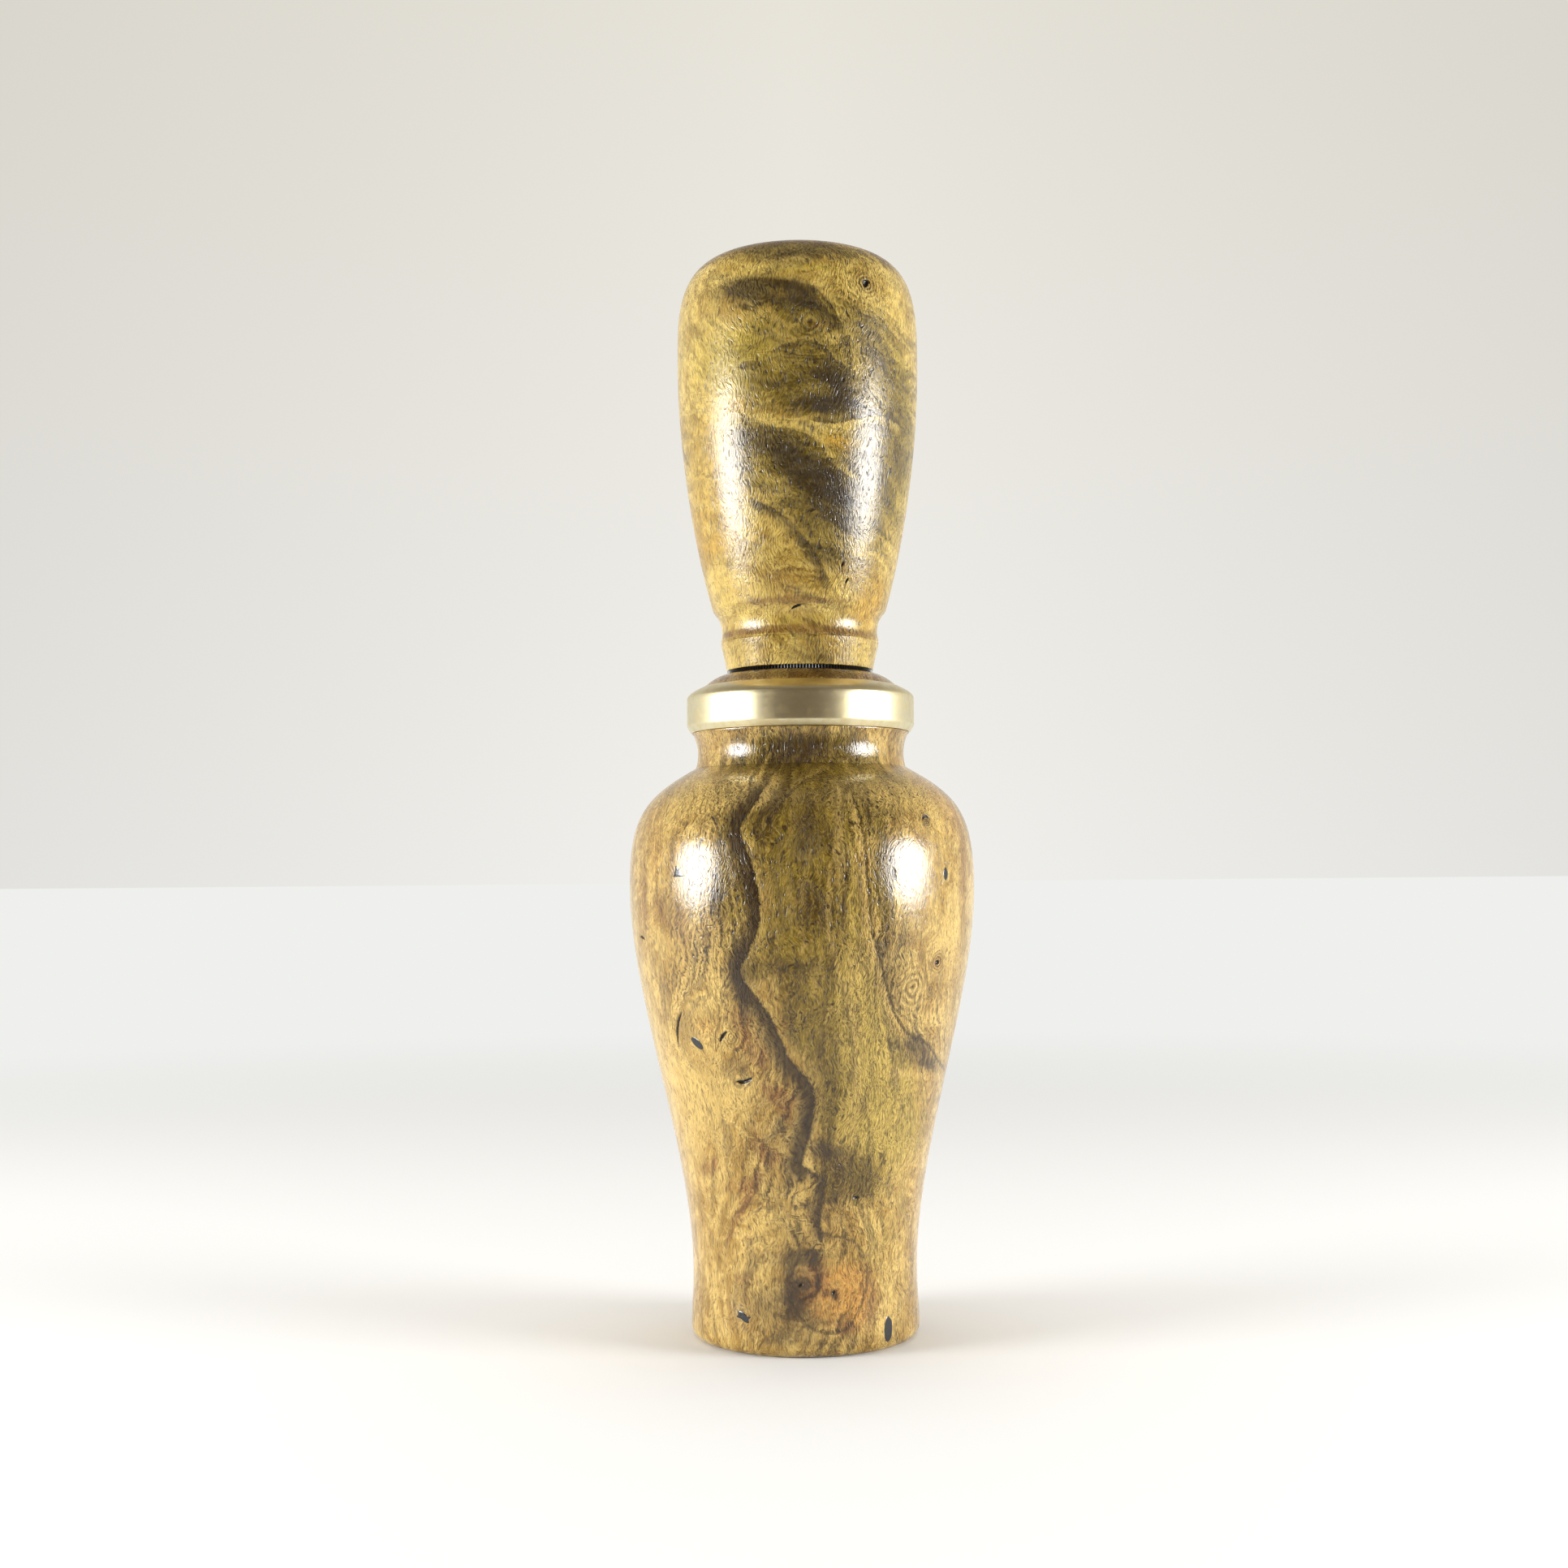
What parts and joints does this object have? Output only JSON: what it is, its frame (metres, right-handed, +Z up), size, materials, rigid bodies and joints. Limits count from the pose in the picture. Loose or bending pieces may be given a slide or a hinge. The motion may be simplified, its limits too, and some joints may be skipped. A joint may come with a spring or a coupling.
{
  "type": "duck call",
  "caption": "Turned burl-wood duck call standing on its mouthpiece: vase-shaped barrel, brass band and a plug-in insert that holds the tone board and reeds.",
  "frame": {"origin": "centre of the mouthpiece rim, on the surface that the call stands on", "axes": "+Z up the bore towards the exhaust end, -Y towards the front, +X to the right of the front"},
  "size_m": [0.0432, 0.0432, 0.1349],
  "materials": {
    "burl_barrel": "gloss clear finish over golden burl",
    "burl_insert": "gloss clear finish over green-brown burl",
    "brass": "satin",
    "black_resin": "gloss",
    "black_acetal": "satin",
    "o_ring": "matte",
    "tone_board": "satin",
    "cork": "raw cork",
    "reed": "clear polyester film, scuffed"
  },
  "bodies": {
    "barrel": {"barrel": "burl_barrel", "brass_band": "brass", "fill_left_shoulder": "black_resin", "fill_right_shoulder": "black_resin", "fill_left_oval": "black_resin", "fill_front_foot": "black_resin", "fill_rim": "black_resin", "fill_back_belly": "black_resin", "fill_back_waist": "black_resin"},
    "o_rings": {"o_ring_lower": "o_ring", "o_ring_upper": "o_ring"},
    "stopper": {"insert_body": "burl_insert", "tenon_sleeve": "black_acetal", "tone_board": "tone_board", "cork_wedge": "cork"},
    "long_reed": {"long_reed": "reed"},
    "short_reed": {"short_reed": "reed"}
  },
  "joints": [
    {"name": "insert_pull", "type": "slide", "parent": "barrel", "child": "o_rings", "axis": [0, 0, 1], "range_m": [0, 0.072]},
    {"name": "insert_turn", "type": "hinge", "parent": "o_rings", "child": "stopper", "pos_m": [0, 0, 0.072], "axis": [0, 0, 1], "continuous": true},
    {"name": "long_reed_flex", "type": "hinge", "parent": "stopper", "child": "long_reed", "pos_m": [0, -0.0006, 0.061], "axis": [1, 0, 0], "range_deg": [-1.5, 1], "stiffness_Nm_per_rad": 0.006},
    {"name": "short_reed_flex", "type": "hinge", "parent": "stopper", "child": "short_reed", "pos_m": [0, -0.0006, 0.061], "axis": [1, 0, 0], "range_deg": [-1.5, 1], "stiffness_Nm_per_rad": 0.004}
  ],
  "couplings": [
    {"joint": "short_reed_flex", "follows": "long_reed_flex", "ratio": 1}
  ]
}
